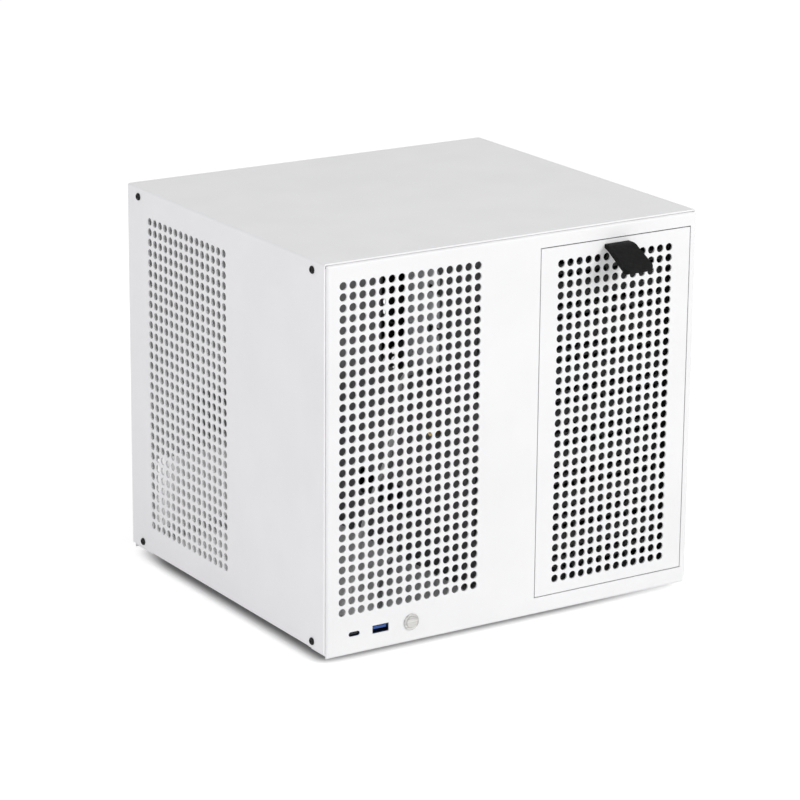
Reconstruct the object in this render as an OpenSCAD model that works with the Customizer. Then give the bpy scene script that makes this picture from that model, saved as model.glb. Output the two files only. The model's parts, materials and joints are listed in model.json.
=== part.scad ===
// Storage server case: a folded steel chassis under a three-sided cover, with a column of drive
// trays behind a lift-off perforated door, two rear fans and a front port group.
// X runs across the front, Y from the front towards the rear and Z up. Lengths are millimetres.

/* [Case] */
// Width across the outside of the cover
case_w = 320; // [314:1:360]
// Height from the underside of the chassis to the top of the cover
case_h = 290; // [288:1:330]
// Depth from the front face to the rear edge of the cover
case_d = 288; // [280:1:340]
// Distance from the front face back to the cover's front edge
cover_setback = 2; // [1.9:0.1:4]
// Height of the cover's lower edges above the underside of the chassis
cover_lift = 3.8; // [2:0.1:6]

/* [Sheet metal] */
// Thickness of every folded steel sheet
sheet = 1.2; // [1:0.1:1.4]
// Outer radius of the folds
bend_r = 1.8; // [1.6:0.1:3]
// Gap between sheets that slide past each other
slip = 0.3; // [0.2:0.05:0.4]
// Depth of the return flanges of the front and rear panels
flange_d = 25; // [22:1:30]
// Height of the base pan's side lips
pan_lip = 20; // [12:1:24]

/* [Perforation] */
// Spacing of the holes, the same across and down
pitch = 8; // [7.6:0.1:8.1]
// Diameter of a hole
hole_d = 6; // [4:0.1:6.2]
// Columns of the front and side grilles
grille_cols = 15; // [10:1:15]
// Columns of the door's grille
door_cols = 13; // [8:1:13]
// Rows of every grille
grille_rows = 31; // [20:1:31]
// Left side of the case to the front grille's first column
front_grille_side = 14.4; // [12:0.1:20]
// Top of the case to the front grille's first row
front_grille_top = 17; // [16:0.5:24]
// Rear edge of the cover to the side grille's first column
side_grille_rear = 34; // [30:1:60]
// Top of the case to the side grille's first row
side_grille_top = 23.1; // [16:0.1:30]

/* [Door] */
// Width of the door opening
opening_w = 134; // [132:1:138]
// Height of the door opening
opening_h = 266; // [264:0.5:267]
// Right side of the case to the door opening
opening_side = 6; // [5.6:0.1:8]
// Underside of the chassis to the door opening
opening_base = 12.6; // [12:0.1:13]
// Gap all round the closed door
door_gap = 0.8; // [0.5:0.1:1.2]
// Left edge of the door to its first column of holes
door_grille_side = 17.6; // [14:0.1:20]
// Top edge of the door to its first row of holes
door_grille_top = 12.9; // [12:0.1:16]
// Diameter of a door magnet
magnet_d = 6; // [4:0.5:7]
// Thickness of a door magnet
magnet_t = 3; // [2:0.5:3]
// Distance of a magnet's centre from the door's top or bottom edge
magnet_inset = 24; // [10:1:60]

/* [Pull tab] */
// Width of the strap
tab_w = 21.5; // [16:0.5:30]
// Thickness of the strap
tab_t = 3; // [2:0.5:4]
// Top edge of the door to the top of the strap
tab_below = 3.2; // [2:0.1:5]
// Level stretch in front of the door
tab_level = 5; // [2:0.5:8]
// Radius of the strap's upper bend
tab_bend = 11; // [6:1:18]
// Angle at which the strap hangs down
tab_droop = 27; // [10:1:45]
// Straight stretch beyond the bend
tab_len = 25.8; // [15:0.1:35]
// How much wider the free end is, on its left side
tab_flare = 4; // [0:0.5:6]
// Corner radius of the free end
tab_corner = 4.5; // [2:0.5:7]

/* [Drive cage] */
// Height of one drive bay
bay_pitch = 32; // [31:0.25:32]
// Clear width between the cage walls
cage_w = 118; // [115:0.5:119]
// Clearance between a tray and each cage wall
tray_gap = 0.5; // [0.3:0.1:0.8]
// Height of a tray
tray_h = 30; // [27:0.5:30.5]
// Length of a tray
tray_len = 158; // [150:1:159]
// Distance from the front face to the front of the trays
tray_front = 10; // [9.5:0.1:10.3]
// Gap behind the trays for the drives' sockets
tray_back_gap = 7; // [6:0.5:15]
// Thickness of a tray's floor
tray_floor = 1.8; // [1.2:0.1:2]
// Thickness of a tray's side walls
tray_wall = 3; // [2:0.5:4]
// Width of the ledges that carry the trays
ledge_w = 6; // [4:0.5:8]

/* [Rear] */
// Width of the opening for the board's rear ports
io_w = 44.45; // [44:0.05:45]
// Height of the opening for the board's rear ports
io_h = 158.75; // [158:0.05:159.5]
// Top of the case to the board's top edge
board_top = 15; // [14:1:16]
// Height of the board standoffs
standoff_h = 6.5; // [5:0.5:8]
// Spacing of the expansion slots
slot_pitch = 20.32; // [20:0.02:21]
// Width of the power supply's fixing holes pattern
psu_hole_w = 113; // [110:1:116]
// Height of the power supply's fixing holes pattern
psu_hole_h = 51.5; // [50:0.5:54]
// Height of the power supply's centre above the underside
psu_z = 39.75; // [37:0.25:42]
// Edge length of a square fan
fan_size = 120; // [112:1:121]
// Spacing of a fan's fixing holes
fan_holes = 105; // [98:0.5:106]
// Thickness of a fan
fan_t = 25; // [20:1:30]
// Diameter of a hole in the rear fan grilles
vent_d = 6; // [4:0.5:6.5]

/* [Front ports] */
// Height of the ports above the underside of the chassis
port_z = 15.3; // [15:0.1:17]
// Left side of the case to the small port
usb_c_x = 24.5; // [24:0.5:27]
// Left side of the case to the large port
usb_a_x = 46.7; // [44:0.1:50]
// Left side of the case to the power button
button_x = 72.6; // [70:0.1:90]
// Diameter of the power switch's front ring
ring_d = 12.4; // [12:0.1:14]
// Diameter of the moving button
button_d = 9; // [7:0.1:9.4]
// Travel of the button
button_travel = 1.5; // [1:0.1:2]

/* [Feet and screws] */
// Height of the rubber feet
foot_h = 5; // [4:0.5:10]
// Diameter of a rubber foot
foot_d = 20; // [14:1:24]
// Distance of a foot's centre from the case's edges
foot_inset = 38; // [37:1:50]
// Rear edge of the cover to the rear side screws
screw_rear = 17; // [10:1:20]
// Front edge of the cover to the front side screws
screw_front = 15.6; // [10:0.1:20]
// Top of the cover to the upper side screws
screw_top = 7.2; // [6.5:0.1:12]
// Lower edge of the cover to the lower side screws
screw_low = 5.1; // [5:0.1:8]
// Diameter of a screw's shank
screw_d = 3; // [2.5:0.1:3.2]
// Diameter of a screw's head
head_d = 5.6; // [5:0.1:6]
// Height of a screw's head
head_h = 1.6; // [1.2:0.1:2]

/* [Hidden] */
// Number of drive trays, and edge length of the square system board
bays = 8;
board_size = 170;
// Thickness of every circuit board
board_t = 1.6;

TRAYS = [for (i = [1 : bays]) str("drive_tray_", i)];

// Fineness of small and of large round shapes
fine = 24;
round = 64;
// Free play round a shank in its hole, on the diameter
play = 0.1;
// Free play of a shaft in its bearing, on the diameter
bearing_play = 0.1;
// Overshoot of a cut past the face that it opens
over = 1;

// Heights of the chassis
base_z = foot_h;
top_z = base_z + case_h;
pan_z = base_z + sheet;
floor_z = pan_z + sheet;

// Width and height of the front and rear panels, which stand inside the cover
panel_w = case_w - 2 * (sheet + slip);
panel_h = case_h - sheet - slip;
pan_w = panel_w - 2 * (sheet + slip);

// Reach of the strap in front of the door
tab_reach = tab_level + tab_bend * sin(tab_droop) + tab_len * cos(tab_droop);
// Place of the front face, with the whole object's middle at Y = 0
front_y = (tab_reach - case_d - head_h) / 2;

// Door opening, door and drive cage
opening_x = case_w / 2 - opening_side - opening_w;
opening_z = base_z + opening_base;
door_w = opening_w - 2 * door_gap;
door_h = opening_h - 2 * door_gap;
door_x = opening_x + door_gap;
door_z = opening_z + door_gap;
cage_x = opening_x + opening_w / 2;
bay_z = opening_z + (opening_h - bays * bay_pitch) / 2;
cage_front = sheet + magnet_t + slip;
cage_d = tray_front + tray_len + tray_back_gap;
cage_top = bay_z + bays * bay_pitch + 7;
cage_lip = 9;
// Foot flange of a cage wall, short of the wall at either end
foot_end = 20;
// Screws of the cage's feet, from the front face and from the cage's rear
cage_screw_front = 50;
cage_screw_rear = 45;
// Screws of the board tray's foot, from either end of the case
tray_screw_end = 60;
magnet_x = door_w / 2 - magnet_d / 2 - 0.4;
tray_w = cage_w - 2 * tray_gap;

// Left of the backplane's middle to its data and power sockets, and their heights above a bay's floor
data_side = 30;
data_rise = 9;
power_side = 57;
power_rise = 60;
// Sockets on the backplane, as width, depth and height
drive_socket = [46, 5.4, 8];
data_socket = [17, 8.5, 6];
power_socket = [11, 12, 23];
socket_wall = 1.2;

// System board, between the left grille and the drive cage
tray_to_cage = 14.8;
board_tray_x = cage_x - cage_w / 2 - sheet - tray_to_cage;
board_face = board_tray_x - standoff_h - board_t;
board_z = top_z - board_top - board_size;
rear_inner = case_d - sheet;
board_rear = rear_inner - 1;
io_x = board_face + 2.2 - io_w;
io_z = board_z + board_size + 0.5 - io_h;
slot_z = board_z + 3;
slot_w = 100;
slot_x = board_face - 2 - slot_w;
slot_h = 13;
psu_x = -case_w / 2 + 72.5;

// Rear fans, one above the other behind the cage
fan_z = [base_z + case_h / 2 - fan_size / 2 - 1, base_z + case_h / 2 + fan_size / 2 + 1];
fan_y = rear_inner - fan_t;
fan_bore = fan_size - 4;
hub_d = 38;
shaft_d = 3;
strut_t = 3;

// Standard port shells, and the switch's threaded barrel
usb_a_w = 13.1;
usb_a_h = 5.7;
usb_c_w = 8.94;
usb_c_h = 3.16;
port_back = 0.3;
barrel_d = ring_d - 1.4;
board_x0 = usb_c_x - 16;
board_x1 = usb_a_x + 12;
port_board_d = 24;
port_board_y = 2.4;
port_board_top = base_z + port_z - usb_a_h / 2;
barrel_len = 12;
switch_len = 17;

// Routes of the two cables inside, measured from the front face: each passes over the lower edge
// of an opening in the board tray and hangs behind it
cord_gap = 0.3;
port_cable_d = 4.6;
port_cable_route = [[-124, 28.3, 20], [-124, 36, 20], [-121, 46, 15.5], [-112, 58, 10.6],
    [-98, 74, 10.6], [-84, 90, 14], [-68, 108, 30], [-49, 126, 50], [-30, 141, 70], [-12, 152, 90],
    [-1, 159, 112], [2, 160, 130], [4, 160, 144], [12.5, 160, 152.4], [19.5, 160, 147],
    [22, 160, 136], [22, 160, 122], [22, 160, 108]];
button_cable_d = 3;
button_cable_route = [[-87, 17.3, 20], [-87, 24, 20], [-86, 34, 14], [-82, 46, 9.5],
    [-72, 66, 9.4], [-56, 92, 9.4], [-38, 116, 9.4], [-18, 138, 9.5], [-5, 150, 12], [2, 155, 22],
    [6, 156, 32], [12.5, 156, 37.8], [18, 156, 33.5], [20, 156, 27], [20, 156, 20]];

// Shape helpers

// A place measured from the front face, with the object's middle at Y = 0
module from_front() translate([0, front_y, 0]) children();

// A rectangle with its corner at the origin and four rounded corners
module rounded(w, h, r) {
    translate([r, 0]) square([w - 2 * r, h]);
    translate([0, r]) square([w, h - 2 * r]);
    for (x = [r, w - r], y = [r, h - r]) translate([x, y]) circle(r, $fn = fine);
}

// A U-shaped outline, open at the far side, with its two near corners rounded
module bent(w, d, r) {
    translate([0, r]) square([w, d - r]);
    translate([r, 0]) square([w - 2 * r, d]);
    for (x = [r, w - r]) translate([x, r]) circle(r, $fn = fine);
}

// An outline in X and Z, extruded from the plane at depth y towards the rear
module facing(y, t) translate([0, y + t, 0]) rotate([90, 0, 0]) linear_extrude(t) children();

// A block with the four edges of its front face rounded
module folded_form(w, h, d, r) {
    intersection() {
        linear_extrude(h) bent(w, d, r);
        rotate([90, 0, 90]) linear_extrude(w) mirror([1, -1]) bent(h, d, r);
    }
}

// A sheet folded back along its four edges, with reliefs where two flanges meet
module folded_panel(w, h, d) {
    relief = bend_r + 0.6;
    difference() {
        folded_form(w, h, d, bend_r);
        translate([sheet, sheet, sheet])
            folded_form(w - 2 * sheet, h - 2 * sheet, d, bend_r - sheet);
        for (x = [-over, w - relief], z = [-over, h - relief]) translate([x, bend_r, z])
            cube([relief + over, d, relief + over]);
    }
}

// Circles on a square grid, counted to the right and down
module hole_grid(cols, rows, d) {
    for (i = [0 : cols - 1], j = [0 : rows - 1]) translate([i * pitch, -j * pitch])
        circle(d = d, $fn = fine);
}

// Circles on a square grid inside a round field
module round_grid(field_r, d) {
    n = floor(field_r / pitch);
    for (i = [-n : n], j = [-n : n]) if (norm([i, j]) * pitch + d / 2 <= field_r)
        translate([i * pitch, j * pitch]) circle(d = d, $fn = fine);
}

// A pan-head screw with its seat at the origin, its head above it and its shank below
module screw(length, d = screw_d, hd = head_d, hh = head_h) {
    recess_l = hd * 0.55;
    recess_w = hd * 0.14;
    difference() {
        union() {
            rotate_extrude($fn = fine) polygon([[0, 0], [hd / 2, 0], [hd / 2, hh * 0.45],
                [hd * 0.36, hh * 0.9], [hd * 0.2, hh], [0, hh]]);
            translate([0, 0, -length]) cylinder(length, d = d, $fn = fine);
        }
        for (a = [0, 90]) rotate(a) translate([-recess_l / 2, -recess_w / 2, hh * 0.45])
            cube([recess_l, recess_w, hh]);
    }
}

// Places that repeat

// Places of the side screws, on the case's middle plane
module at_cover_screws() {
    for (y = [cover_setback + screw_front, case_d - screw_rear],
         z = [base_z + cover_lift + screw_low, top_z - screw_top]) translate([0, y, z]) children();
}

// Centres of the rivets that join the end panels to the base pan
module at_rivets() {
    for (x = [-0.41, -0.19, 0.19, 0.41] * case_w, y = [flange_d * 0.56, case_d - flange_d * 0.56])
        translate([x, y, 0]) children();
}

// Centres of the screws that hold the cage and the board tray to the base pan
module at_base_screws() {
    cage_flange = cage_w / 2 - cage_lip / 2 - 0.5;
    for (x = [cage_x - cage_flange, cage_x + cage_flange], y = [cage_screw_front, cage_d - cage_screw_rear])
        translate([x, y, 0]) children();
    for (y = [tray_screw_end, case_d - tray_screw_end])
        translate([board_tray_x - cage_lip / 2 - 0.5, y, 0]) children();
}

module at_feet() {
    for (x = [-1, 1] * (case_w / 2 - foot_inset), y = [foot_inset, case_d - foot_inset])
        translate([x, y, 0]) children();
}

// Fixing points of the system board: the upper rear one stands further in
module at_standoffs() {
    hole_front = board_rear - 165.1;
    for (p = [[board_rear - 10.16, 6.17], [board_rear - 33.02, 163.65],
              [hole_front, 6.17], [hole_front, 163.65]])
        translate([board_tray_x, p[0], board_z + p[1]]) rotate([0, -90, 0]) children();
}

module at_backplane_screws() {
    for (s = [-1, 1], k = [0.04, 0.5, 0.96])
        translate([cage_x + s * (cage_w / 2 + cage_lip / 2 + 0.6), cage_d,
                   bay_z + k * bays * bay_pitch]) rotate([-90, 0, 0]) children();
}

module at_fans() for (z = fan_z) translate([cage_x, 0, z]) children();

module at_fan_screws() {
    at_fans() for (x = [-1, 1] * fan_holes / 2, z = [-1, 1] * fan_holes / 2)
        translate([x, case_d, z]) rotate([-90, 0, 0]) children();
}

// Casework

// Top and both sides folded from one sheet, with the perforated field on the left side
module cover() {
    len = case_d - cover_setback;
    low = base_z + cover_lift;
    color("white") from_front() difference() {
        translate([-case_w / 2, cover_setback, 0])
            arch(case_w, low, top_z, len, bend_r);
        translate([sheet - case_w / 2, cover_setback - over, 0])
            arch(case_w - 2 * sheet, low - over, top_z - sheet, len + 2 * over, bend_r - sheet);
        translate([-case_w / 2 - over, case_d - side_grille_rear, top_z - side_grille_top])
            rotate([90, 0, 90]) mirror([1, 0, 0]) linear_extrude(sheet + 2 * over)
                hole_grid(grille_cols, grille_rows, hole_d);
        at_cover_screws() rotate([0, 90, 0])
            cylinder(case_w + 2 * over, d = screw_d + 0.4, center = true, $fn = fine);
    }
}

// A block running back from Y = 0 with its two upper long edges rounded
module arch(w, low, high, len, r) {
    translate([0, len, 0]) rotate([90, 0, 0]) linear_extrude(len) translate([0, low]) {
        square([w, high - low - r]);
        translate([r, 0]) square([w - 2 * r, high - low]);
        for (x = [r, w - r]) translate([x, high - low - r]) circle(r, $fn = fine);
    }
}

// Front face with its grille, door opening and port holes, folded back along four edges
module front_panel() {
    color("white") from_front() difference() {
        translate([-panel_w / 2, 0, base_z]) folded_panel(panel_w, panel_h, flange_d);
        facing(-over, sheet + 2 * over) {
            translate([front_grille_side - case_w / 2, top_z - front_grille_top])
                hole_grid(grille_cols, grille_rows, hole_d);
            translate([opening_x, opening_z]) square([opening_w, opening_h]);
            port_outlines();
        }
        at_cover_screws() rotate([0, 90, 0])
            cylinder(case_w, d = screw_d + play, center = true, $fn = fine);
        at_rivets() cylinder(2 * pan_z, d = screw_d + 0.2 + play, $fn = fine);
    }
}

// Cut-outs for the two ports and the power switch
module port_outlines() {
    translate([-case_w / 2, base_z + port_z]) {
        translate([usb_a_x - usb_a_w / 2 - 0.35, -usb_a_h / 2 - 0.25])
            square([usb_a_w + 0.7, usb_a_h + 0.5]);
        translate([usb_c_x - usb_c_w / 2 - 0.2, -usb_c_h / 2 - 0.2])
            rounded(usb_c_w + 0.4, usb_c_h + 0.4, usb_c_h / 2 + 0.19);
        translate([button_x, 0]) circle(d = barrel_d + play, $fn = fine);
    }
}

// Rear face with its port opening, slots, power supply opening and two fan grilles
module rear_panel() {
    color("white") from_front() difference() {
        translate([panel_w / 2, case_d, base_z]) rotate(180)
            folded_panel(panel_w, panel_h, flange_d);
        facing(rear_inner - over, sheet + 2 * over) {
            translate([io_x, io_z]) square([io_w, io_h]);
            for (k = [0, 1]) translate([slot_x, slot_z - slot_h / 2 - k * slot_pitch])
                square([slot_w, slot_h]);
            translate([psu_x, base_z + psu_z]) {
                square([psu_hole_w - 12, psu_hole_h + 5], center = true);
                for (x = [-1, 1] * psu_hole_w / 2, z = [-1, 1] * psu_hole_h / 2)
                    translate([x, z]) circle(d = 4, $fn = fine);
            }
        }
        for (z = fan_z) translate([cage_x, 0, z]) facing(rear_inner - over, sheet + 2 * over)
            round_grid(fan_bore / 2 - 1, vent_d);
        at_fan_screws() cylinder(3 * sheet, d = screw_d + play, center = true, $fn = fine);
        at_slot_screws() cylinder(3 * sheet, d = screw_d + play, center = true, $fn = fine);
        at_cover_screws() rotate([0, 90, 0])
            cylinder(case_w, d = screw_d + play, center = true, $fn = fine);
        at_rivets() cylinder(2 * pan_z, d = screw_d + 0.2 + play, $fn = fine);
    }
}

// Base sheet with a lip along each side
module base_pan() {
    pan_front = bend_r + slip;
    pan_len = case_d - 2 * pan_front;
    color("white") from_front() difference() {
        translate([-pan_w / 2, pan_front + pan_len, pan_z]) rotate([90, 0, 0])
            linear_extrude(pan_len) difference() {
                bent(pan_w, pan_lip, bend_r);
                translate([sheet, sheet]) bent(pan_w - 2 * sheet, pan_lip, bend_r - sheet);
            }
        at_rivets() cylinder(2 * floor_z, d = screw_d + 0.2 + play, $fn = fine);
        at_base_screws() cylinder(2 * floor_z, d = screw_d + 0.4, $fn = fine);
        at_feet() cylinder(2 * floor_z, d = screw_d + play, $fn = fine);
        at_cover_screws() rotate([0, 90, 0])
            cylinder(case_w, d = screw_d + play, center = true, $fn = fine);
    }
}

// Upright sheet that carries the system board, with cable openings and a foot flange
module board_tray() {
    tray_y = flange_d + slip;
    tray_end = case_d - bend_r - slip;
    tray_top = base_z + panel_h - sheet - slip;
    len = tray_end - tray_y;
    tall = tray_top - floor_z;
    color("white") from_front() difference() {
        translate([board_tray_x, tray_y, floor_z]) {
            difference() {
                cube([sheet, len, tall]);
                translate([-over, 0, 0]) rotate([90, 0, 90]) linear_extrude(sheet + 2 * over) {
                    translate([len * 0.36, tall * 0.5]) rounded(82, 92, 6);
                    translate([len * 0.08, tall * 0.5]) rounded(22, 82, 8);
                    translate([len * 0.08, tall * 0.12]) rounded(22, 62, 8);
                    translate([len * 0.45, tall * 0.1]) rounded(90, 22, 8);
                }
            }
            translate([-cage_lip - 1, 0, 0]) cube([cage_lip + 1 + sheet, len, sheet]);
        }
        at_standoffs() cylinder(4 * sheet, d = screw_d + play, center = true, $fn = fine);
        at_base_screws() cylinder(2 * floor_z, d = screw_d + play, $fn = fine);
    }
}

// Four hexagonal board standoffs with threaded holes, each on its own stud
module board_standoffs() {
    across = 5.5;
    color("goldenrod") from_front() at_standoffs() difference() {
        union() {
            cylinder(standoff_h, d = across / cos(30), $fn = 6);
            translate([0, 0, -sheet - 1]) cylinder(sheet + 1 + over, d = screw_d, $fn = fine);
        }
        translate([0, 0, 1.5]) cylinder(standoff_h, d = 2.6, $fn = fine);
    }
}

// Drive cage

// One wall of the cage: a sheet with front, rear and foot flanges, and a pressed ledge for each tray
module cage_wall(side) {
    wall_x = cage_w / 2;
    ledge_front = cage_front + 8;
    ledge_len = cage_d - ledge_front - 18;
    color("silver") from_front() difference() {
        translate([cage_x, 0, 0]) mirror([side < 0 ? 1 : 0, 0, 0]) {
            difference() {
                translate([wall_x, cage_front, floor_z])
                    cube([sheet, cage_d - cage_front, cage_top - floor_z]);
                for (i = [0 : bays - 1]) translate([wall_x - over, ledge_front, ledge_z(i)])
                    translate([0, 0, sheet]) cube([sheet + 2 * over, ledge_len, ledge_w]);
            }
            for (i = [0 : bays - 1]) translate([wall_x - ledge_w, ledge_front, ledge_z(i)])
                cube([ledge_w + sheet / 2, ledge_len, sheet]);
            translate([wall_x, cage_front, opening_z]) cube([cage_lip, sheet, opening_h]);
            translate([wall_x, cage_d - sheet, bay_z]) cube([cage_lip, sheet, bays * bay_pitch]);
            translate([wall_x - cage_lip - 1, cage_front + foot_end, floor_z])
                cube([cage_lip + 1 + sheet / 2, cage_d - cage_front - 2 * foot_end, sheet]);
        }
        at_base_screws() cylinder(2 * floor_z, d = screw_d + play, $fn = fine);
        at_backplane_screws() cylinder(4 * sheet, d = screw_d + play, center = true, $fn = fine);
    }
}

// Underside of the ledge below tray i, counted from the bottom
function ledge_z(i) = bay_z + i * bay_pitch - slip - sheet + (bay_pitch - tray_h) / 2;

module cage_left_wall() cage_wall(-1);
module cage_right_wall() cage_wall(1);

// Plate across the top of the cage, with a flange down each side
module cage_top_plate() {
    plate_y = flange_d + 3;
    plate_len = cage_d - plate_y - 6;
    outer = cage_w + 4 * sheet;
    color("silver") from_front() translate([cage_x - outer / 2, plate_y, cage_top - 12]) difference() {
        cube([outer, plate_len, 12 + sheet]);
        translate([sheet, -over, -over]) cube([outer - 2 * sheet, plate_len + 2 * over, 12 + over]);
    }
}

// One drive tray: front grip with vents, open floor, side walls and four drive fixing bosses
module drive_tray(i) {
    drive_w = 102.2;
    boss_d = 7;
    window_w = 26;
    boss_z = tray_floor + 5.2;
    grip_t = 4;
    grip_reach = 3;
    hollow = tray_w - 2 * tray_wall;
    z0 = bay_z + i * bay_pitch + (bay_pitch - tray_h) / 2;
    color("dimgray") from_front() translate([cage_x - tray_w / 2, tray_front, z0]) difference() {
        union() {
            difference() {
                cube([tray_w, tray_len, tray_h * 0.5]);
                translate([tray_wall, grip_t, tray_floor]) cube([hollow, tray_len, tray_h]);
            }
            cube([tray_w, grip_t, tray_h]);
            translate([tray_w * 0.3, -grip_reach, tray_h * 0.41])
                cube([tray_w * 0.4, grip_reach + over, tray_h * 0.16]);
            for (x = [tray_wall, tray_w - tray_wall], y = [40, 141.6]) translate([x, y, boss_z])
                rotate([0, x < tray_w / 2 ? 90 : -90, 0])
                    cylinder((tray_w - drive_w) / 2 - tray_wall, d = boss_d, $fn = fine);
        }
        // Six windows in the floor
        for (k = [-1 : 1], y = [0.1, 0.55] * tray_len)
            translate([tray_w / 2 + k * (window_w + 5) - window_w / 2, y, -over])
                linear_extrude(tray_floor + 2 * over) rounded(window_w, tray_len * 0.36, 5);
        // Vents through the front, above and below the grip
        for (k = [0 : 7], z = [0.16, 0.62] * tray_h)
            translate([tray_w * 0.1 + k * tray_w * 0.1025, -over, z])
                cube([tray_w * 0.08, grip_t + 2 * over, tray_h * 0.22]);
        // Screw holes for the drive
        for (y = [40, 141.6]) translate([-over, y, boss_z]) rotate([0, 90, 0])
            cylinder(tray_w + 2 * over, d = 3.4, $fn = fine);
    }
}

// Upright circuit board behind the cage, with air slots between its connectors
module backplane() {
    w = cage_w + 2 * cage_lip - 1;
    slot = cage_w * 0.2;
    color("darkgreen") from_front() difference() {
        facing(cage_d, board_t) translate([cage_x - w / 2, bay_z + 2]) difference() {
            square([w, bays * bay_pitch - 4]);
            for (i = [0 : bays - 1], k = [0, 1])
                translate([w / 2 + 2 + k * (slot + 3), i * bay_pitch + 6]) rounded(slot, 18, 3);
        }
        at_backplane_screws() cylinder(8, d = screw_d + play, center = true, $fn = fine);
    }
}

// Drive connectors on the front of the backplane, one to a bay
module backplane_connectors() {
    color("black") from_front() for (i = [0 : bays - 1])
        translate([cage_x - 4 - drive_socket[0], cage_d - drive_socket[1], bay_z + i * bay_pitch + 8])
        difference() {
            cube(drive_socket);
            translate([3, -over, 2.6]) cube([11, 4 + over, 2.6]);
            translate([17, -over, 2.6]) cube([25, 4 + over, 2.6]);
        }
}

// Data sockets on the rear of the backplane
module backplane_data_ports() {
    color("black") from_front() for (i = [0 : bays - 1])
        translate([cage_x - data_side, cage_d + board_t, bay_z + i * bay_pitch + data_rise])
            socket(data_socket);
}

// Two power inlets low on the rear of the backplane
module backplane_power_ports() {
    color("white") from_front() for (k = [0, 1])
        translate([cage_x - power_side, cage_d + board_t, bay_z + power_rise + k * 4 * bay_pitch])
            socket(power_socket);
}

// A box open to the rear, of the size given
module socket(size) difference() {
    cube(size);
    translate([socket_wall, 2, socket_wall])
        cube([size[0] - 2 * socket_wall, size[1], size[2] - 2 * socket_wall]);
}

module backplane_screws() color("silver") from_front() at_backplane_screws()
    translate([0, 0, board_t]) screw(4);

// Door

// Flat perforated door with a slot for the strap
module door_panel() {
    color("white") from_front() facing(0, sheet) translate([door_x, door_z]) difference() {
        square([door_w, door_h]);
        translate([door_grille_side, door_h - door_grille_top])
            hole_grid(door_cols, grille_rows, hole_d);
        translate([(door_w - tab_w) / 2 - 0.2, door_h - tab_below - tab_t - 0.1])
            square([tab_w + 0.4, tab_t + 0.2]);
    }
}

// Disc magnets behind the door's corners, facing the cage's front flanges
module door_magnets() {
    color("silver") from_front() for (s = [-1, 1], z = [magnet_inset, door_h - magnet_inset])
        translate([cage_x + s * magnet_x, sheet, door_z + z]) rotate([-90, 0, 0])
            cylinder(magnet_t, d = magnet_d, $fn = fine);
}

// Rubber strap through the door, level at the root and hanging down, with an anchor bar behind
module pull_tab() {
    top = door_z + door_h - tab_below;
    mid_x = door_x + door_w / 2;
    anchor_w = tab_w + 6;
    anchor_h = 6;
    color("#20211f") from_front() translate([mid_x, 0, top]) {
        intersection() {
            translate([-tab_w, 0, 0]) rotate([90, 0, 90]) linear_extrude(2 * tab_w)
                polygon(tab_side());
            translate([0, 0, -3 * tab_len]) linear_extrude(4 * tab_len) tab_plan();
        }
        translate([-anchor_w / 2, sheet, -(tab_t + anchor_h) / 2]) cube([anchor_w, 2.4, anchor_h]);
    }
}

// Outline of the strap from above: parallel at the root, wider and rounded at the free end
module tab_plan() {
    left = -tab_w / 2 - tab_flare;
    right = tab_w / 2;
    tip = -tab_reach;
    polygon([[-tab_w / 2, sheet + tab_t], [-tab_w / 2, -tab_level], [left, tip + tab_corner],
        [left + tab_corner, tip], [right - tab_corner, tip], [right, tip + tab_corner],
        [right, sheet + tab_t]]);
    for (x = [left + tab_corner, right - tab_corner]) translate([x, tip + tab_corner])
        circle(tab_corner, $fn = fine);
}

// Outline of the strap from the side, as depth and height below its top: level, bent, then
// straight down to the free end, with a straight underside
function tab_side() = let (steps = 12, r = tab_bend,
        end = [-tab_reach, -r + r * cos(tab_droop) - tab_len * sin(tab_droop)])
    concat([[sheet + 1, 0]],
        [for (i = [0 : steps]) let (a = i * tab_droop / steps)
            [-tab_level - r * sin(a), -r + r * cos(a)]],
        [end, end + tab_t * [sin(tab_droop), -cos(tab_droop)], [0, -tab_t], [sheet + 1, -tab_t]]);

// Rear fittings

// Blank covers inside the expansion slots
module slot_covers() {
    color("silver") from_front() difference() {
        for (k = [0, 1])
            translate([slot_x - 8, rear_inner - 1, slot_z - 8.4 - k * slot_pitch])
                cube([slot_w + 12, 1, 16.8]);
        at_slot_screws() cylinder(6 * sheet, d = screw_d + play, center = true, $fn = fine);
    }
}

module at_slot_screws() for (k = [0, 1])
    translate([slot_x - 4, case_d, slot_z - k * slot_pitch]) rotate([-90, 0, 0]) children();

module slot_screws() color("silver") from_front() at_slot_screws() screw(4);

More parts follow.
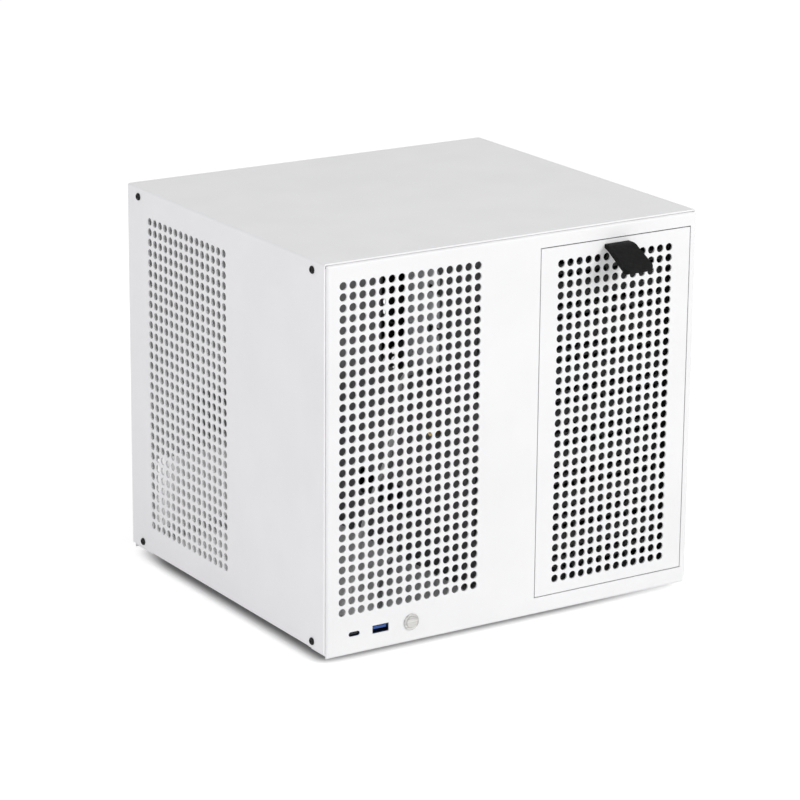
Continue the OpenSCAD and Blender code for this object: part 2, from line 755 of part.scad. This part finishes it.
// One fan frame: a square flange at each end of a round duct, with a motor mount on four struts
module fan_frame(z) {
    plate = 4;
    corner = 6;
    mount_d = hub_d - 2;
    color("#222222") from_front() translate([cage_x, fan_y, z]) difference() {
        union() {
            difference() {
                union() {
                    for (y = [0, fan_t - plate]) translate([-fan_size / 2, 0, -fan_size / 2])
                        facing(y, plate) rounded(fan_size, fan_size, corner);
                    rotate([-90, 0, 0]) cylinder(fan_t, d = fan_size, $fn = round);
                }
                translate([0, -over, 0]) rotate([-90, 0, 0])
                    cylinder(fan_t + 2 * over, d = fan_bore, $fn = round);
            }
            translate([0, fan_t - strut_t, 0]) rotate([-90, 0, 0]) {
                cylinder(strut_t, d = mount_d, $fn = round);
                for (a = [45 : 90 : 315]) rotate(a) translate([mount_d / 2 - 2, -2, 0])
                    cube([(fan_bore - mount_d) / 2 + 3, 4, strut_t]);
            }
            translate([0, fan_t - strut_t - 6, 0]) rotate([-90, 0, 0])
                cylinder(6, d = 9, $fn = fine);
        }
        translate([0, fan_t - strut_t - 7, 0]) rotate([-90, 0, 0])
            cylinder(8, d = shaft_d + bearing_play, $fn = fine);
        for (x = [-1, 1] * fan_holes / 2, w = [-1, 1] * fan_holes / 2)
            translate([x, -over, w]) rotate([-90, 0, 0])
                cylinder(fan_t + 2 * over, d = screw_d + play, $fn = fine);
    }
}

module upper_fan_frame() fan_frame(fan_z[1]);
module lower_fan_frame() fan_frame(fan_z[0]);

// One fan rotor: a hub cup on a shaft, with seven pitched blades
module fan_rotor(z) {
    blades = 7;
    blade_r = fan_bore / 2 - 1;
    hub_l = fan_t - strut_t - 3;
    depth = hub_l - 2;
    color("#333333") from_front() translate([cage_x, fan_y + 1.5, z]) rotate([-90, 0, 0]) {
        difference() {
            cylinder(hub_l, d = hub_d, $fn = round);
            translate([0, 0, 4]) cylinder(hub_l, d = hub_d - 4, $fn = round);
        }
        cylinder(hub_l + 0.5, d = shaft_d, $fn = fine);
        intersection() {
            difference() {
                cylinder(hub_l, r = blade_r, $fn = round);
                translate([0, 0, -over]) cylinder(hub_l + 2 * over, d = hub_d - 2, $fn = round);
            }
            for (k = [0 : blades - 1]) rotate(k * 360 / blades) translate([0, 0, hub_l / 2])
                rotate([38, 0, 0]) translate([hub_d / 2 - 2, -depth * 0.75, -0.8])
                    cube([blade_r, depth * 1.5, 1.6]);
        }
    }
}

module upper_fan_rotor() fan_rotor(fan_z[1]);
module lower_fan_rotor() fan_rotor(fan_z[0]);

module fan_screws() color("silver") from_front() at_fan_screws() screw(9);

// Front ports

// Shell of the large port, open at the front
module usb_a_shell() {
    color("silver") from_front() translate([usb_a_x - case_w / 2, 0, base_z + port_z])
        difference() {
            translate([-usb_a_w / 2, port_back, -usb_a_h / 2]) cube([usb_a_w, 14, usb_a_h]);
            translate([-usb_a_w / 2 + 0.3, port_back - over, -usb_a_h / 2 + 0.3])
                cube([usb_a_w - 0.6, 14, usb_a_h - 0.6]);
        }
}

// Contact tongue of the large port, on its block at the back of the shell
module usb_a_tongue() {
    color("royalblue") from_front() translate([usb_a_x - case_w / 2, 0, base_z + port_z]) {
        translate([-5.6, port_back + 1.2, -0.2]) cube([11.2, 11.4, 1.9]);
        translate([-usb_a_w / 2 + 0.3, port_back + 9, -usb_a_h / 2 + 0.3])
            cube([usb_a_w - 0.6, 14 - 9 - over, usb_a_h - 0.6]);
    }
}

// Shell of the small port, with two feet on the port board
module usb_c_shell() {
    foot_l = usb_a_h / 2 - usb_c_h / 2;
    color("silver") from_front() translate([usb_c_x - case_w / 2, 0, base_z + port_z]) {
        translate([-usb_c_w / 2, 0, -usb_c_h / 2]) difference() {
            facing(port_back, 9) rounded(usb_c_w, usb_c_h, usb_c_h / 2 - 0.01);
            translate([0.3, 0, 0.3]) facing(port_back - over, 9)
                rounded(usb_c_w - 0.6, usb_c_h - 0.6, usb_c_h / 2 - 0.31);
        }
        for (x = [-3, 2]) translate([x, 4, -usb_c_h / 2 - foot_l]) cube([1, 4, foot_l + 0.2]);
    }
}

// Contact tongue of the small port
module usb_c_tongue() {
    color("black") from_front() translate([usb_c_x - case_w / 2, 0, base_z + port_z]) {
        translate([-3.35, port_back + 0.8, -0.35]) cube([6.7, 6, 0.7]);
        translate([-usb_c_w / 2 + 1.4, port_back + 6, -usb_c_h / 2 + 0.3])
            cube([usb_c_w - 2.8, 2, usb_c_h - 0.6]);
    }
}

// Small circuit board under the two ports
module port_board() {
    color("darkgreen") from_front() difference() {
        translate([board_x0 - case_w / 2, port_board_y, port_board_top - board_t])
            cube([board_x1 - board_x0, port_board_d, board_t]);
        at_port_screws() cylinder(20, d = 2.6, center = true, $fn = fine);
    }
}

module at_port_screws() for (x = [board_x0 + 4, board_x1 - 4])
    translate([x - case_w / 2, port_board_y + port_board_d - 6, port_board_top]) children();

// Bridge that carries the port board on the base pan
module port_bracket() {
    tall = port_board_top - board_t - floor_z;
    long = board_x1 - board_x0;
    color("silver") from_front() difference() {
        translate([board_x0 - case_w / 2, port_board_y, floor_z]) difference() {
            cube([long, port_board_d, tall]);
            translate([sheet, -over, -over])
                cube([long - 2 * sheet, port_board_d + 2 * over, tall - sheet + over]);
        }
        at_port_screws() cylinder(20, d = 2.6, center = true, $fn = fine);
    }
}

module port_board_screws() color("silver") from_front() at_port_screws() screw(4, 2.5, 4.4, 1.4);

// Power switch: front ring, threaded barrel and rear housing, hollow for the button
module power_switch() {
    color("gainsboro") from_front() at_button() difference() {
        union() {
            rotate_extrude($fn = round) polygon([[0, -1.4], [ring_d / 2 - 0.5, -1.4],
                [ring_d / 2, -0.9], [ring_d / 2, 0], [0, 0]]);
            cylinder(barrel_len, d = barrel_d, $fn = round);
            translate([0, 0, barrel_len])
                cylinder(switch_len - barrel_len, d = barrel_d - 2, $fn = fine);
        }
        translate([0, 0, -1.4 - over]) cylinder(over + 5, d = button_d + 2 * bearing_play, $fn = round);
        translate([0, 0, 3]) cylinder(6, d = 5 + bearing_play, $fn = fine);
    }
}

// Switch axis, with its own Z running into the case
module at_button() translate([button_x - case_w / 2, 0, base_z + port_z]) rotate([-90, 0, 0]) children();

// Hexagonal nut behind the front panel
module power_switch_nut() {
    color("silver") from_front() at_button() translate([0, 0, sheet]) difference() {
        cylinder(2.4, d = 14 / cos(30), $fn = 6);
        translate([0, 0, -over]) cylinder(5, d = barrel_d + play, $fn = fine);
    }
}

// Moving button with its guide stem
module power_button() {
    cap_end = 3.3 - button_travel;
    color("gainsboro") from_front() at_button() {
        rotate_extrude($fn = round) polygon([[0, -2], [button_d / 2 - 0.4, -2],
            [button_d / 2, -1.6], [button_d / 2, cap_end], [0, cap_end]]);
        cylinder(8.5 - button_travel, d = 5, $fn = fine);
    }
}

// Cables

// A point on a smooth curve through the listed points, between point i and the next
function spline(p, i, t) =
    let (a = p[max(i - 1, 0)], b = p[i], c = p[i + 1], d = p[min(i + 2, len(p) - 1)])
    0.5 * (2 * b + (c - a) * t + (2 * a - 5 * b + 4 * c - d) * t * t
        + (3 * b - a - 3 * c + d) * t * t * t);

function smooth(p, steps) = concat(
    [for (i = [0 : len(p) - 2], k = [0 : steps - 1]) spline(p, i, k / steps)], [p[len(p) - 1]]);

function unit(v) = v / norm(v);

// A round tube along a curve, with flat ends
module tube(route, d, steps, sides = 8) {
    c = smooth(route, steps);
    last = len(c) - 1;
    slant = [0.6, -0.5, 0.62];
    rings = [for (i = [0 : last])
        let (t = unit(c[min(i + 1, last)] - c[max(i - 1, 0)]), u = unit(cross(t, slant)), v = cross(t, u))
        for (k = [0 : sides - 1]) c[i] + d / 2 * (cos(k * 360 / sides) * u + sin(k * 360 / sides) * v)];
    walls = [for (i = [0 : last - 1], k = [0 : sides - 1])
        let (a = i * sides + k, b = i * sides + (k + 1) % sides)
        each [[a, a + sides, b], [b, a + sides, b + sides]]];
    near = [for (k = [0 : sides - 1]) k];
    far = [for (k = [sides - 1 : -1 : 0]) last * sides + k];
    polyhedron(rings, concat(walls, [near, far]), convexity = 8);
}

// Cable from the port board, along the base pan and over the board tray's large opening
module port_cable() color("whitesmoke") from_front() tube(port_cable_route, port_cable_d, steps = 2);

// Cable from the power switch, along the base pan and through the board tray's low opening
module button_cable() color("gray") from_front() tube(button_cable_route, button_cable_d, steps = 3);

// Plugs: on the port board, and on the free end of each cable
module cable_plugs() {
    port_end = port_cable_route[len(port_cable_route) - 1];
    button_end = button_cable_route[len(button_cable_route) - 1];
    color("black") from_front() {
        translate([port_cable_route[0][0] - 6, port_cable_route[0][1] - cord_gap - 10, port_board_top])
            cube([12, 10, 6]);
        translate(port_end - [4, 10, 16 + cord_gap]) cube([8, 20, 16]);
        translate(button_end - [1.6, 4, 12 + cord_gap]) cube([3.2, 8, 12]);
    }
}

// Fasteners and feet

module cover_screws() {
    color("black") from_front() for (s = [-1, 1]) translate([s * case_w / 2, 0, 0])
        at_cover_screws() rotate([0, s * 90, 0]) screw(5);
}

// Blind rivets through the end panels' bottom flanges and the base pan
module chassis_rivets() {
    d = screw_d + 0.2;
    color("silver") from_front() at_rivets() {
        translate([0, 0, base_z]) mirror([0, 0, 1])
            rotate_extrude($fn = fine) polygon([[0, 0], [d, 0], [d * 0.8, 0.8], [0, 1.2]]);
        translate([0, 0, base_z]) cylinder(2 * sheet, d = d, $fn = fine);
        translate([0, 0, floor_z]) cylinder(1.4, d = d + 1.2, $fn = fine);
    }
}

module base_screws() color("silver") from_front() at_base_screws()
    translate([0, 0, pan_z]) mirror([0, 0, 1]) screw(4);

// Round rubber foot with a recess for its screw
module rubber_feet() {
    color("#1c1c1c") from_front() at_feet() difference() {
        rotate_extrude($fn = round) polygon([[0, 0], [foot_d / 2 - 1.5, 0], [foot_d / 2 - 0.8, 0.7],
            [foot_d / 2, pan_z], [0, pan_z]]);
        translate([0, 0, -over]) cylinder(over + pan_z - 2, d = head_d + 2, $fn = fine);
        cylinder(2 * pan_z, d = screw_d + 0.4, $fn = fine);
    }
}

module foot_screws() color("silver") from_front() at_feet()
    translate([0, 0, pan_z - 2]) mirror([0, 0, 1]) screw(5);

cover();
front_panel();
rear_panel();
base_pan();
board_tray();
board_standoffs();
cage_left_wall();
cage_right_wall();
cage_top_plate();
backplane();
backplane_connectors();
backplane_data_ports();
backplane_power_ports();
backplane_screws();
door_panel();
door_magnets();
pull_tab();
slot_covers();
slot_screws();
upper_fan_frame();
lower_fan_frame();
upper_fan_rotor();
lower_fan_rotor();
fan_screws();
power_switch();
power_switch_nut();
power_button();
usb_a_shell();
usb_a_tongue();
usb_c_shell();
usb_c_tongue();
port_board();
port_bracket();
port_board_screws();
cover_screws();
chassis_rivets();
base_screws();
rubber_feet();
foot_screws();
port_cable();
button_cable();
cable_plugs();
for (i = [1 : bays]) drive_tray(i - 1);
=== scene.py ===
"""Storage case on a white ground: finishes, cables, lights and camera, in metres."""
import json
import math

import bpy
from mathutils import Matrix, Vector


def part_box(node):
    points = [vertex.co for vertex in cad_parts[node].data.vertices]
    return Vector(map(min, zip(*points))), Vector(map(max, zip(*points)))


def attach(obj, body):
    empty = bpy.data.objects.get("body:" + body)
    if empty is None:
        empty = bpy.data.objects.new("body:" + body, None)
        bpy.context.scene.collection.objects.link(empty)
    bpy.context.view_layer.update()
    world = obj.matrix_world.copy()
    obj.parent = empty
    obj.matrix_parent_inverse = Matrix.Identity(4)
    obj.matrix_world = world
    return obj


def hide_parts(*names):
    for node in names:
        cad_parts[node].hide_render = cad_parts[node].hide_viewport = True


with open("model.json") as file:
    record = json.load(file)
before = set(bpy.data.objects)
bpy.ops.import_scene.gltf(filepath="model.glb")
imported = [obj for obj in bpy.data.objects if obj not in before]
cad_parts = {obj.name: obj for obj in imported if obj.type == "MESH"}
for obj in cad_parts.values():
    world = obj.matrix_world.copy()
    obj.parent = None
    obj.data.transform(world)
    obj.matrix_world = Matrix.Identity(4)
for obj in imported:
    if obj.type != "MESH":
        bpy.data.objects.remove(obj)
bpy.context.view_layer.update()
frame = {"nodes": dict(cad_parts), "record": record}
NODES = frame["nodes"]
MM = 0.001

# Camera, solved from the grilles' holes: where it stands, where it looks, and its lens
CAMERA_PLACE = Vector((-1.33243, -2.06135, 0.87948))
CAMERA_AZIMUTH = math.radians(32.553)
CAMERA_DOWN = math.radians(16.761)
CAMERA_ROLL = math.radians(0.476)
CAMERA_LENS = 152.95
CAMERA_SENSOR = 36.0
CAMERA_REACH = 60.0


def add_camera():
    """The photograph's viewpoint, with no shift."""
    data = bpy.data.cameras.new("camera")
    data.lens = CAMERA_LENS
    data.sensor_width = CAMERA_SENSOR
    data.clip_end = CAMERA_REACH
    camera = bpy.data.objects.new("camera", data)
    bpy.context.scene.collection.objects.link(camera)
    forward = Vector((math.sin(CAMERA_AZIMUTH) * math.cos(CAMERA_DOWN),
                      math.cos(CAMERA_AZIMUTH) * math.cos(CAMERA_DOWN), -math.sin(CAMERA_DOWN)))
    right = forward.cross(Vector((0, 0, 1))).normalized()
    up = right.cross(forward)
    right = right * math.cos(CAMERA_ROLL) + up * math.sin(CAMERA_ROLL)
    up = right.cross(forward)
    turn = Matrix((right, up, -forward)).transposed().to_4x4()
    camera.matrix_world = Matrix.Translation(CAMERA_PLACE) @ turn
    bpy.context.scene.camera = camera


# Materials

# Noise values that are taken as the ends of its range, for roughness and for colour
NOISE_ENDS = (0.3, 0.7)
COLOUR_ENDS = (0.35, 0.65)
TRACKS_PER_METRE = 260


def principled(name, colour, roughness, metallic=0.0):
    """A new material with one Principled shader, and its node tree's parts."""
    mat = bpy.data.materials.new(name)
    mat.use_nodes = True
    tree = mat.node_tree
    shader = tree.nodes["Principled BSDF"]
    shader.inputs["Base Color"].default_value = (*colour, 1)
    shader.inputs["Roughness"].default_value = roughness
    shader.inputs["Metallic"].default_value = metallic
    place = tree.nodes.new("ShaderNodeTexCoord").outputs["Object"]
    return mat, tree, shader, place


def noise(tree, place, size, detail=3.0, stretch=(1, 1, 1), turn=0.0):
    """Noise with features about size metres across, drawn out by a small stretch and turned about Y."""
    mapping = tree.nodes.new("ShaderNodeMapping")
    mapping.inputs["Scale"].default_value = stretch
    mapping.inputs["Rotation"].default_value = (0, turn, 0)
    tree.links.new(place, mapping.inputs["Vector"])
    node = tree.nodes.new("ShaderNodeTexNoise")
    node.inputs["Scale"].default_value = 1 / size
    node.inputs["Detail"].default_value = detail
    tree.links.new(mapping.outputs["Vector"], node.inputs["Vector"])
    return node.outputs["Fac"]


def map_range(tree, value, numbers, interpolation="LINEAR"):
    """The value mapped from the first two numbers to the last two."""
    node = tree.nodes.new("ShaderNodeMapRange")
    node.interpolation_type = interpolation
    for name, number in zip(("From Min", "From Max", "To Min", "To Max"), numbers):
        node.inputs[name].default_value = number
    tree.links.new(value, node.inputs["Value"])
    return node.outputs["Result"]


def spread(tree, value, low, high):
    """A noise value spread over low to high."""
    return map_range(tree, value, (*NOISE_ENDS, low, high))


def vary_colour(tree, shader, value, dark, light):
    """Base colour between dark and light, by a noise value."""
    ramp = tree.nodes.new("ShaderNodeValToRGB")
    for element, position, colour in zip(ramp.color_ramp.elements, COLOUR_ENDS, (dark, light)):
        element.position = position
        element.color = (*colour, 1)
    tree.links.new(value, ramp.inputs["Fac"])
    tree.links.new(ramp.outputs["Color"], shader.inputs["Base Color"])


def bump(tree, shader, value, depth, strength=1.0):
    """Relief of depth metres from a noise value."""
    node = tree.nodes.new("ShaderNodeBump")
    node.inputs["Distance"].default_value = depth
    node.inputs["Strength"].default_value = strength
    tree.links.new(value, node.inputs["Height"])
    tree.links.new(node.outputs["Normal"], shader.inputs["Normal"])


def shade(colour, factor):
    """The colour, lighter or darker by a factor."""
    return tuple(min(1.0, c * factor) for c in colour)


def powder_coat(name, colour):
    """Fine textured powder coat."""
    mat, tree, shader, place = principled(name, colour, 0.5)
    vary_colour(tree, shader, noise(tree, place, 0.05), shade(colour, 0.985), shade(colour, 1.01))
    tree.links.new(spread(tree, noise(tree, place, 0.0012), 0.44, 0.58), shader.inputs["Roughness"])
    bump(tree, shader, noise(tree, place, 0.0006, 2.0), 0.00003, 0.5)
    return mat


def zinc(name="zinc_sheet", colour=(0.66, 0.67, 0.68), roughness=0.42):
    """Zinc-plated steel with faint rolling marks and spangle."""
    mat, tree, shader, place = principled(name, colour, roughness, 0.9)
    vary_colour(tree, shader, noise(tree, place, 0.009), shade(colour, 0.93), shade(colour, 1.05))
    marks = noise(tree, place, 0.002, 3, (1, 0.1, 1))
    tree.links.new(spread(tree, marks, roughness - 0.08, roughness + 0.1), shader.inputs["Roughness"])
    bump(tree, shader, noise(tree, place, 0.0008), 0.00002, 0.4)
    return mat


def plastic(name, colour, roughness=0.55, grain=0.0008, depth=0.00003, specular=0.5):
    """Moulded plastic or a like skin with a fine grain."""
    mat, tree, shader, place = principled(name, colour, roughness)
    shader.inputs["Specular IOR Level"].default_value = specular
    vary_colour(tree, shader, noise(tree, place, 0.02), shade(colour, 0.9), shade(colour, 1.12))
    tree.links.new(spread(tree, noise(tree, place, 0.004), roughness - 0.06, roughness + 0.06),
                   shader.inputs["Roughness"])
    bump(tree, shader, noise(tree, place, grain), depth)
    return mat


def rubber():
    """Matte black moulded rubber with a faint uneven skin."""
    black = (0.0058, 0.0064, 0.0058)
    mat, tree, shader, place = principled("rubber", black, 0.62)
    shader.inputs["Specular IOR Level"].default_value = 0.08
    vary_colour(tree, shader, noise(tree, place, 0.006), shade(black, 0.8), shade(black, 1.35))
    tree.links.new(spread(tree, noise(tree, place, 0.003), 0.52, 0.72), shader.inputs["Roughness"])
    bump(tree, shader, noise(tree, place, 0.0015), 0.00012)
    return mat


def brushed(name, colour, roughness=0.3, size=0.0006, turn=0.0, contrast=0.05):
    """Fine brushed metal, its marks across or turned about Y."""
    mat, tree, shader, place = principled(name, colour, roughness, 1.0)
    marks = noise(tree, place, size, 2, (0.08, 1, 1), turn)
    vary_colour(tree, shader, marks, shade(colour, 1 - contrast), shade(colour, 1 + contrast))
    tree.links.new(spread(tree, marks, roughness - 0.06, roughness + 0.1), shader.inputs["Roughness"])
    bump(tree, shader, marks, 0.00001, 0.5)
    return mat


def circuit_board():
    """Green solder mask with the faint relief of tracks."""
    green = (0.012, 0.085, 0.035)
    mat, tree, shader, place = principled("circuit_board", green, 0.35)
    tracks = tree.nodes.new("ShaderNodeTexVoronoi")
    tracks.feature = "DISTANCE_TO_EDGE"
    tracks.inputs["Scale"].default_value = TRACKS_PER_METRE
    tree.links.new(place, tracks.inputs["Vector"])
    vary_colour(tree, shader, noise(tree, place, 0.002), shade(green, 0.8), shade(green, 1.3))
    bump(tree, shader, tracks.outputs["Distance"], 0.00005, 0.5)
    return mat


def finishes():
    """One material for each of the record's slots."""
    return {
        "white_paint": powder_coat("white_paint", (0.9, 0.9, 0.905)),
        "galvanised": zinc(),
        "steel": zinc("screw_steel", (0.72, 0.72, 0.73), 0.3),
        "grey_paint": powder_coat("grey_paint", (0.12, 0.12, 0.124)),
        "port_shell": zinc("black_nickel", (0.02, 0.045, 0.1), 0.3),
        "black_screw": plastic("black_oxide", (0.01, 0.01, 0.01), 0.4, grain=0.0004, depth=0.00001,
                               specular=0.15),
        "tray_plastic": plastic("tray_plastic", (0.016, 0.016, 0.017), 0.5),
        "fan_plastic": plastic("fan_plastic", (0.022, 0.022, 0.023), 0.45),
        "black_plastic": plastic("connector_plastic", (0.012, 0.012, 0.012), 0.4),
        "white_plastic": plastic("nylon", (0.78, 0.78, 0.74), 0.4),
        "rubber": rubber(),
        "magnet": brushed("nickel", (0.78, 0.77, 0.74), 0.16),
        "button_metal": brushed("brushed_aluminium", (0.52, 0.515, 0.5), 0.36, size=0.0014, turn=-0.9,
                                contrast=0.2),
        "blue_plastic": plastic("blue_plastic", (0.018, 0.08, 0.32), 0.35),
        "board": circuit_board(),
        "brass": brushed("brass", (0.78, 0.58, 0.27), 0.28),
        "cable_white": plastic("cable_white", (0.86, 0.86, 0.86), 0.42),
        "cable_grey": plastic("cable_grey", (0.3, 0.3, 0.31), 0.45),
    }


def paint_nodes(mats):
    """Gives every CAD node the material of its slot."""
    for part in frame["record"]["subparts"]:
        data = NODES[part["node"]].data
        data.materials.clear()
        data.materials.append(mats[part["material_slot"]])
        data.polygons.foreach_set("material_index", [0] * len(data.polygons))


# Cables, with their diameters and routes in millimetres, whose Y is measured from the front face

PORT_CABLE_D = 4.6
PORT_CABLE_ROUTE = [(-124, 28.3, 20), (-124, 36, 20), (-121, 46, 15.5), (-112, 58, 10.6),
                    (-98, 74, 10.6), (-84, 90, 14), (-68, 108, 30), (-49, 126, 50), (-30, 141, 70),
                    (-12, 152, 90), (-1, 159, 112), (2, 160, 130), (4, 160, 144), (12.5, 160, 152.4),
                    (19.5, 160, 147), (22, 160, 136), (22, 160, 122), (22, 160, 108)]
BUTTON_CABLE_D = 3.0
BUTTON_CABLE_ROUTE = [(-87, 17.3, 20), (-87, 24, 20), (-86, 34, 14), (-82, 46, 9.5), (-72, 66, 9.4),
                      (-56, 92, 9.4), (-38, 116, 9.4), (-18, 138, 9.5), (-5, 150, 12), (2, 155, 22),
                      (6, 156, 32), (12.5, 156, 37.8), (18, 156, 33.5), (20, 156, 27), (20, 156, 20)]
CABLE_STEPS = 8


def smooth(points):
    """The points of a Catmull-Rom curve through the given ones, CABLE_STEPS to a span."""
    out = []
    last = len(points) - 1
    for i in range(last):
        a, b, c, d = points[max(i - 1, 0)], points[i], points[i + 1], points[min(i + 2, last)]
        for k in range(CABLE_STEPS):
            t = k / CABLE_STEPS
            out.append(0.5 * (2 * b + (c - a) * t + (2 * a - 5 * b + 4 * c - d) * t * t
                              + (3 * b - a - 3 * c + d) * t * t * t))
    return out + [points[last]]


def add_cable(name, route, diameter, mat, node):
    """A round cable along its route, in place of its CAD tube."""
    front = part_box("front_panel")[0][1]
    line = smooth([Vector(p) * MM + Vector((0, front, 0)) for p in route])
    curve = bpy.data.curves.new(name, "CURVE")
    curve.dimensions = "3D"
    curve.bevel_depth = diameter * MM / 2
    curve.bevel_resolution = 4
    curve.use_fill_caps = True
    spline = curve.splines.new("POLY")
    spline.points.add(len(line) - 1)
    for point, place in zip(spline.points, line):
        point.co = (*place, 1)
    spline.use_smooth = True
    curve.materials.append(mat)
    cable = bpy.data.objects.new(name, curve)
    bpy.context.scene.collection.objects.link(cable)
    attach(cable, "case")
    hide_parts(node)


# Ground, world and lamps

FLOOR_SIZE = 40.0
# Floor colours inside the painted shadow and on the open floor
FLOOR_PAINTED_SHADOW_AND_OPEN_TONES = (0.45, 0.88)
FLOOR_GLOW = 0.5
WORLD_LEVEL = 0.55
LAMP_TARGET = (0.0, 0.0, 0.15)
LAMPS = (("front_lamp", (1.1, -2.6, 1.5), 1.2, 40, (1, 1, 1)),
         ("side_lamp", (-2.8, -0.4, 1.0), 1.6, 19, (0.96, 0.94, 1.0)))
# Edges of a shadow painted on the floor behind the object, standing in for the shadow it throws: the heading
# of the axes in degrees, the axis, the two places in metres between which the painted shadow changes, and
# its depth before and after them
PAINTED_SHADOW_EDGES = ((0, "X", -0.165, -0.15, 0, 1),
                (0, "Y", -0.13, -0.11, 0, 1),
                (-32, "X", -0.222, -0.19, 0, 1),
                (-32, "X", 0.1, 0.21, 1, 0),
                (-32, "Y", 0.3, 0.85, 1, 0))


def calculate(tree, operation, first, second):
    """One arithmetic node, whose inputs are numbers or other nodes' outputs."""
    node = tree.nodes.new("ShaderNodeMath")
    node.operation = operation
    for socket, value in zip(node.inputs, (first, second)):
        if isinstance(value, (int, float)):
            socket.default_value = value
        else:
            tree.links.new(value, socket)
    return node.outputs["Value"]


def white_for_camera(tree, lit, strength):
    """A shader that adds plain white to lit for the camera, reflections and transmission alone."""
    path = tree.nodes.new("ShaderNodeLightPath")
    seen = path.outputs["Is Camera Ray"]
    for name in ("Is Glossy Ray", "Is Transmission Ray"):
        seen = calculate(tree, "MAXIMUM", seen, path.outputs[name])
    glow = tree.nodes.new("ShaderNodeEmission")
    tree.links.new(calculate(tree, "MULTIPLY", seen, strength), glow.inputs["Strength"])
    both = tree.nodes.new("ShaderNodeAddShader")
    tree.links.new(lit, both.inputs[0])
    tree.links.new(glow.outputs["Emission"], both.inputs[1])
    return both.outputs["Shader"]


def outside_painted_shadow(tree):
    """1 on the open floor, falling to 0 inside the shadow painted behind the object."""
    place = tree.nodes.new("ShaderNodeTexCoord").outputs["Object"]
    # Becomes 1 inside the painted shadow
    in_painted_shadow = 1.0
    for heading, axis, *numbers in PAINTED_SHADOW_EDGES:
        turned = tree.nodes.new("ShaderNodeMapping")
        turned.vector_type = "TEXTURE"
        turned.inputs["Rotation"].default_value = (0, 0, math.radians(heading))
        tree.links.new(place, turned.inputs["Vector"])
        split = tree.nodes.new("ShaderNodeSeparateXYZ")
        tree.links.new(turned.outputs["Vector"], split.inputs["Vector"])
        edge = map_range(tree, split.outputs[axis], numbers, "SMOOTHSTEP")
        in_painted_shadow = calculate(tree, "MULTIPLY", in_painted_shadow, edge)
    return calculate(tree, "SUBTRACT", 1.0, in_painted_shadow)


def add_ground():
    """A white floor that keeps the object's shadow, with a shadow also painted behind the object: a darker
    colour and no added white there.
    """
    mesh = bpy.data.meshes.new("floor")
    h = FLOOR_SIZE / 2
    mesh.from_pydata([(-h, -h, 0), (h, -h, 0), (h, h, 0), (-h, h, 0)], [], [(0, 1, 2, 3)])
    floor = bpy.data.objects.new("floor", mesh)
    bpy.context.scene.collection.objects.link(floor)
    mat = bpy.data.materials.new("floor_white")
    mat.use_nodes = True
    tree = mat.node_tree
    tree.nodes.remove(tree.nodes["Principled BSDF"])
    clear_of_painted_shadow = outside_painted_shadow(tree)
    diffuse = tree.nodes.new("ShaderNodeBsdfDiffuse")
    # Painted shadow: the floor's colour is darker inside the painted zone, and its added white is withheld
    # there
    tree.links.new(map_range(tree, clear_of_painted_shadow, (0, 1, *FLOOR_PAINTED_SHADOW_AND_OPEN_TONES)), diffuse.inputs["Color"])
    out = white_for_camera(tree, diffuse.outputs["BSDF"], calculate(tree, "MULTIPLY", clear_of_painted_shadow, FLOOR_GLOW))
    tree.links.new(out, tree.nodes["Material Output"].inputs["Surface"])
    mesh.materials.append(mat)


def add_world():
    """Even light from all round, and a white horizon for the camera."""
    world = bpy.data.worlds.new("world")
    bpy.context.scene.world = world
    world.use_nodes = True
    tree = world.node_tree
    light = tree.nodes["Background"]
    light.inputs["Color"].default_value = (1, 1, 1, 1)
    light.inputs["Strength"].default_value = WORLD_LEVEL
    out = white_for_camera(tree, light.outputs["Background"], 1 - WORLD_LEVEL)
    tree.links.new(out, tree.nodes["World Output"].inputs["Surface"])


def add_lamp(name, place, size, watts, colour):
    """A square area lamp that faces LAMP_TARGET."""
    data = bpy.data.lights.new(name, "AREA")
    data.shape = "SQUARE"
    data.size = size
    data.energy = watts
    data.color = colour
    lamp = bpy.data.objects.new(name, data)
    lamp.location = place
    lamp.rotation_euler = (Vector(LAMP_TARGET) - Vector(place)).to_track_quat("-Z", "Y").to_euler()
    bpy.context.scene.collection.objects.link(lamp)


def main():
    """Dresses the frame and sets its stage."""
    mats = finishes()
    paint_nodes(mats)
    add_cable("port_cable_sheath", PORT_CABLE_ROUTE, PORT_CABLE_D, mats["cable_white"],
              "port_cable")
    add_cable("button_cable_sheath", BUTTON_CABLE_ROUTE, BUTTON_CABLE_D, mats["cable_grey"],
              "button_cable")
    add_ground()
    add_world()
    for lamp in LAMPS:
        add_lamp(*lamp)
    add_camera()
    bpy.context.scene.view_settings.view_transform = "Standard"


main()
